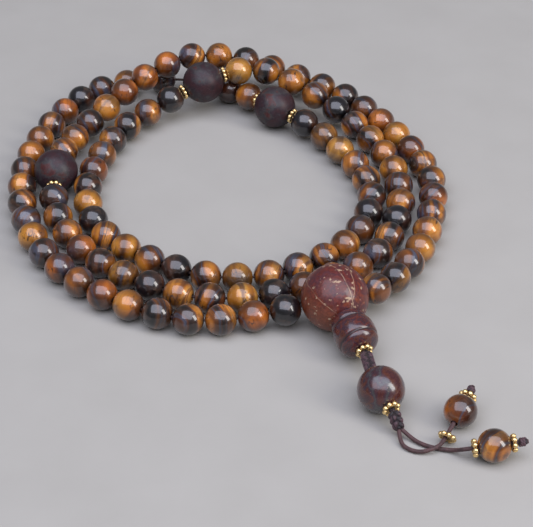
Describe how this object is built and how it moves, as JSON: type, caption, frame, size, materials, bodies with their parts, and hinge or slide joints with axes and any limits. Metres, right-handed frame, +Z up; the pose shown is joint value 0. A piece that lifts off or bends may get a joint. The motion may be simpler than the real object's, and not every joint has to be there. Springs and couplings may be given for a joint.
{
  "type": "mala prayer beads",
  "caption": "Strand of round tiger-eye beads coiled in three turns, with larger matte marker beads, a big three-hole guru bead, a turned cap and a corded tail with end beads.",
  "frame": {"origin": "on the surface the beads lie on, in the middle of the coil", "axes": "+Z up, +X to the right and +Y away from the tail: the tail leaves the guru bead towards -Y and +X"},
  "size_m": [0.1313, 0.173, 0.017],
  "materials": {
    "tiger_eye": "polished",
    "marker_stone": "matte",
    "guru_stone": "polished",
    "cap_stone": "polished",
    "tail_stone": "polished",
    "gold": "satin",
    "thread": "matte",
    "cord": "matte"
  },
  "bodies": {
    "strand": {"main_thread": "thread", "guru_bead": "guru_stone", "second_quarter_beads": "tiger_eye", "third_quarter_beads": "tiger_eye", "fourth_quarter_beads": "tiger_eye"},
    "bead_01": {"tiger_eye_bead_01": "tiger_eye"},
    "bead_02": {"tiger_eye_bead_02": "tiger_eye"},
    "bead_03": {"tiger_eye_bead_03": "tiger_eye"},
    "bead_04": {"tiger_eye_bead_04": "tiger_eye"},
    "bead_05": {"tiger_eye_bead_05": "tiger_eye"},
    "bead_06": {"tiger_eye_bead_06": "tiger_eye"},
    "bead_07": {"tiger_eye_bead_07": "tiger_eye"},
    "bead_08": {"tiger_eye_bead_08": "tiger_eye"},
    "bead_09": {"tiger_eye_bead_09": "tiger_eye"},
    "bead_10": {"tiger_eye_bead_10": "tiger_eye"},
    "bead_11": {"tiger_eye_bead_11": "tiger_eye"},
    "bead_12": {"tiger_eye_bead_12": "tiger_eye"},
    "bead_13": {"tiger_eye_bead_13": "tiger_eye"},
    "bead_14": {"tiger_eye_bead_14": "tiger_eye"},
    "bead_15": {"tiger_eye_bead_15": "tiger_eye"},
    "bead_16": {"tiger_eye_bead_16": "tiger_eye"},
    "bead_17": {"tiger_eye_bead_17": "tiger_eye"},
    "bead_18": {"tiger_eye_bead_18": "tiger_eye"},
    "bead_19": {"tiger_eye_bead_19": "tiger_eye"},
    "bead_20": {"tiger_eye_bead_20": "tiger_eye"},
    "bead_21": {"tiger_eye_bead_21": "tiger_eye"},
    "bead_22": {"tiger_eye_bead_22": "tiger_eye"},
    "bead_23": {"tiger_eye_bead_23": "tiger_eye"},
    "bead_24": {"tiger_eye_bead_24": "tiger_eye"},
    "bead_25": {"tiger_eye_bead_25": "tiger_eye"},
    "bead_26": {"tiger_eye_bead_26": "tiger_eye"},
    "marker_1": {"marker_bead_1": "marker_stone"},
    "marker_2": {"marker_bead_2": "marker_stone"},
    "marker_3": {"marker_bead_3": "marker_stone"},
    "marker_1_before_ring": {"marker_1_spacer_before": "gold"},
    "marker_1_after_ring": {"marker_1_spacer_after": "gold"},
    "marker_2_before_ring": {"marker_2_spacer_before": "gold"},
    "marker_2_after_ring": {"marker_2_spacer_after": "gold"},
    "marker_3_before_ring": {"marker_3_spacer_before": "gold"},
    "marker_3_after_ring": {"marker_3_spacer_after": "gold"},
    "tail": {"upper_braid": "cord", "lower_braid": "cord"},
    "cap": {"guru_cap": "cap_stone", "cap_spacer": "gold"},
    "tail_bead": {"tail_bead": "tail_stone", "tail_spacer": "gold"},
    "tail_cords": {"tail_cord_a": "cord", "tail_cord_b": "cord", "end_knot_a": "cord", "end_knot_b": "cord"},
    "end_a": {"end_bead_a": "tiger_eye", "outer_spacer_a": "gold"},
    "end_b": {"end_bead_b": "tiger_eye", "inner_spacer_b": "gold", "outer_spacer_b": "gold"},
    "slipped_spacer": {"inner_spacer_a": "gold"}
  },
  "joints": [
    {"name": "bead_01_spin", "type": "hinge", "parent": "strand", "child": "bead_01", "pos_m": [0.01578, -0.05807, 0.00541], "axis": [-0.9733, -0.0968, -0.208], "continuous": true},
    {"name": "bead_02_spin", "type": "hinge", "parent": "strand", "child": "bead_02", "pos_m": [0.00776, -0.05903, 0.00422], "axis": [-0.9869, -0.1383, -0.0831], "continuous": true},
    {"name": "bead_03_spin", "type": "hinge", "parent": "strand", "child": "bead_03", "pos_m": [-0.00031, -0.06029, 0.004], "axis": [-0.9912, -0.1325, 0], "continuous": true},
    {"name": "bead_04_spin", "type": "hinge", "parent": "strand", "child": "bead_04", "pos_m": [-0.00845, -0.06019, 0.004], "axis": [-0.988, 0.1546, 0], "continuous": true},
    {"name": "bead_05_spin", "type": "hinge", "parent": "strand", "child": "bead_05", "pos_m": [-0.01624, -0.05782, 0.004], "axis": [-0.9216, 0.3881, 0], "continuous": true},
    {"name": "bead_06_spin", "type": "hinge", "parent": "strand", "child": "bead_06", "pos_m": [-0.02369, -0.05447, 0.004], "axis": [-0.8851, 0.4655, 0], "continuous": true},
    {"name": "bead_07_spin", "type": "hinge", "parent": "strand", "child": "bead_07", "pos_m": [-0.0306, -0.05013, 0.004], "axis": [-0.8034, 0.5954, 0], "continuous": true},
    {"name": "bead_08_spin", "type": "hinge", "parent": "strand", "child": "bead_08", "pos_m": [-0.03688, -0.04491, 0.004], "axis": [-0.7302, 0.6832, 0], "continuous": true},
    {"name": "bead_09_spin", "type": "hinge", "parent": "strand", "child": "bead_09", "pos_m": [-0.04244, -0.03894, 0.004], "axis": [-0.6288, 0.7775, 0], "continuous": true},
    {"name": "bead_10_spin", "type": "hinge", "parent": "strand", "child": "bead_10", "pos_m": [-0.04721, -0.03231, 0.004], "axis": [-0.5265, 0.8502, 0], "continuous": true},
    {"name": "bead_11_spin", "type": "hinge", "parent": "strand", "child": "bead_11", "pos_m": [-0.0509, -0.02503, 0.004], "axis": [-0.3731, 0.9278, 0], "continuous": true},
    {"name": "bead_12_spin", "type": "hinge", "parent": "strand", "child": "bead_12", "pos_m": [-0.05355, -0.0173, 0.004], "axis": [-0.2965, 0.955, 0], "continuous": true},
    {"name": "bead_13_spin", "type": "hinge", "parent": "strand", "child": "bead_13", "pos_m": [-0.05547, -0.00937, 0.004], "axis": [-0.1729, 0.9849, 0], "continuous": true},
    {"name": "bead_14_spin", "type": "hinge", "parent": "strand", "child": "bead_14", "pos_m": [-0.05643, -0.00126, 0.004], "axis": [-0.0819, 0.9966, 0], "continuous": true},
    {"name": "bead_15_spin", "type": "hinge", "parent": "strand", "child": "bead_15", "pos_m": [-0.05655, 0.0069, 0.004], "axis": [0.0524, 0.9986, 0], "continuous": true},
    {"name": "bead_16_spin", "type": "hinge", "parent": "strand", "child": "bead_16", "pos_m": [-0.05564, 0.01502, 0.004], "axis": [0.1557, 0.9878, 0], "continuous": true},
    {"name": "bead_17_spin", "type": "hinge", "parent": "strand", "child": "bead_17", "pos_m": [-0.05394, 0.02301, 0.004], "axis": [0.2617, 0.9651, 0], "continuous": true},
    {"name": "bead_18_spin", "type": "hinge", "parent": "strand", "child": "bead_18", "pos_m": [-0.0515, 0.0308, 0.004], "axis": [0.3239, 0.9461, 0], "continuous": true},
    {"name": "bead_19_spin", "type": "hinge", "parent": "strand", "child": "bead_19", "pos_m": [-0.04831, 0.03832, 0.004], "axis": [0.4543, 0.8908, 0], "continuous": true},
    {"name": "bead_20_spin", "type": "hinge", "parent": "strand", "child": "bead_20", "pos_m": [-0.04414, 0.04534, 0.004], "axis": [0.553, 0.8332, 0], "continuous": true},
    {"name": "bead_21_spin", "type": "hinge", "parent": "strand", "child": "bead_21", "pos_m": [-0.0385, 0.05119, 0.004], "axis": [0.8125, 0.583, 0], "continuous": true},
    {"name": "bead_22_spin", "type": "hinge", "parent": "strand", "child": "bead_22", "pos_m": [-0.03121, 0.05482, 0.004], "axis": [0.9378, 0.3471, 0], "continuous": true},
    {"name": "bead_23_spin", "type": "hinge", "parent": "strand", "child": "bead_23", "pos_m": [-0.02057, 0.05697, 0.004], "axis": [0.999, 0.0439, 0], "continuous": true},
    {"name": "bead_24_spin", "type": "hinge", "parent": "strand", "child": "bead_24", "pos_m": [-0.00977, 0.05599, 0.004], "axis": [0.9554, -0.2954, 0], "continuous": true},
    {"name": "bead_25_spin", "type": "hinge", "parent": "strand", "child": "bead_25", "pos_m": [-0.00023, 0.05083, 0.00417], "axis": [0.7959, -0.6013, 0.0699], "continuous": true},
    {"name": "bead_26_spin", "type": "hinge", "parent": "strand", "child": "bead_26", "pos_m": [0.00563, 0.04526, 0.00521], "axis": [0.6529, -0.7381, 0.1703], "continuous": true},
    {"name": "marker_1_spin", "type": "hinge", "parent": "strand", "child": "marker_1", "pos_m": [0.01327, 0.03733, 0.00641], "axis": [0.7489, -0.6626, -0.0112], "continuous": true},
    {"name": "marker_1_spacer_before_spin", "type": "hinge", "parent": "strand", "child": "marker_1_before_ring", "pos_m": [0.00858, 0.04194, 0.00596], "axis": [0.6675, -0.73, 0.1465], "continuous": true},
    {"name": "marker_1_spacer_after_spin", "type": "hinge", "parent": "strand", "child": "marker_1_after_ring", "pos_m": [0.01841, 0.03324, 0.00582], "axis": [0.8011, -0.5768, -0.1602], "continuous": true},
    {"name": "marker_2_spin", "type": "hinge", "parent": "strand", "child": "marker_2", "pos_m": [-0.00785, 0.04549, 0.00989], "axis": [0.8983, 0.3691, 0.2383], "continuous": true},
    {"name": "marker_2_spacer_before_spin", "type": "hinge", "parent": "strand", "child": "marker_2_before_ring", "pos_m": [-0.01358, 0.04273, 0.00814], "axis": [0.8465, 0.4515, 0.2822], "continuous": true},
    {"name": "marker_2_spacer_after_spin", "type": "hinge", "parent": "strand", "child": "marker_2_after_ring", "pos_m": [-0.00174, 0.04757, 0.01127], "axis": [0.9488, 0.2599, 0.1795], "continuous": true},
    {"name": "marker_3_spin", "type": "hinge", "parent": "strand", "child": "marker_3", "pos_m": [-0.04729, 0.00299, 0.00641], "axis": [0.0345, 0.9977, 0.0584], "continuous": true},
    {"name": "marker_3_spacer_before_spin", "type": "hinge", "parent": "strand", "child": "marker_3_before_ring", "pos_m": [-0.04726, -0.00355, 0.00554], "axis": [-0.0298, 0.9834, 0.1788], "continuous": true},
    {"name": "marker_3_spacer_after_spin", "type": "hinge", "parent": "strand", "child": "marker_3_after_ring", "pos_m": [-0.04679, 0.00956, 0.00628], "axis": [0.1172, 0.9881, -0.0999], "continuous": true},
    {"name": "tail_swing", "type": "hinge", "parent": "strand", "child": "tail", "pos_m": [0.028, -0.057, 0.0085], "axis": [0, 0, 1], "range_deg": [-15, 15]},
    {"name": "guru_cap_spin", "type": "hinge", "parent": "tail", "child": "cap", "pos_m": [0.028, -0.057, 0.0085], "axis": [0.3551, -0.9221, -0.1537], "continuous": true},
    {"name": "tail_bead_spin", "type": "hinge", "parent": "tail", "child": "tail_bead", "pos_m": [0.038, -0.0887, 0.0057], "axis": [0.34, -0.93, -0.14], "continuous": true},
    {"name": "tail_cords_swing", "type": "hinge", "parent": "tail", "child": "tail_cords", "pos_m": [0.0419, -0.0984, 0.0021], "axis": [0, 0, 1], "range_deg": [-15, 15]},
    {"name": "end_bead_a_spin", "type": "hinge", "parent": "tail_cords", "child": "end_a", "pos_m": [0.0563, -0.0943, 0.004], "axis": [0.4398, 0.8695, 0.2249], "continuous": true},
    {"name": "end_bead_b_spin", "type": "hinge", "parent": "tail_cords", "child": "end_b", "pos_m": [0.063, -0.1062, 0.004], "axis": [0.9915, 0.0771, 0.1052], "continuous": true},
    {"name": "inner_spacer_a_slide", "type": "slide", "parent": "tail_cords", "child": "slipped_spacer", "axis": [0.4398, 0.8695, 0.2249], "range_m": [0, 0.003]}
  ]
}
